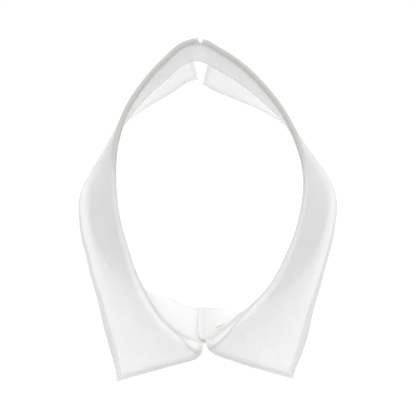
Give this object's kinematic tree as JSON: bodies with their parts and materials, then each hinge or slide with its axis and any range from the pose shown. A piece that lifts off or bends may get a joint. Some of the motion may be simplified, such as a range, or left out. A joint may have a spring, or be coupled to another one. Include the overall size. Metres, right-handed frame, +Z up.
{
  "type": "detachable shirt collar",
  "caption": "Buttoned detachable shirt collar: a neck band with a turned-down leaf, split at the back, that stands by itself as a ring.",
  "frame": {"origin": "under the middle of the whole collar's box, on the table that the leaf's hem stands on", "axes": "+Z up out of the neck opening; -Y is the wearer's front, where the button and the points are; +X is the wearer's left"},
  "size_m": [0.1278, 0.1592, 0.0464],
  "materials": {
    "shirting": "white cotton poplin, plain weave",
    "button": "pearl-like"
  },
  "bodies": {
    "root": {"stand": "shirting", "leaf_right": "shirting", "leaf_left": "shirting", "button": "button"}
  },
  "joints": []
}
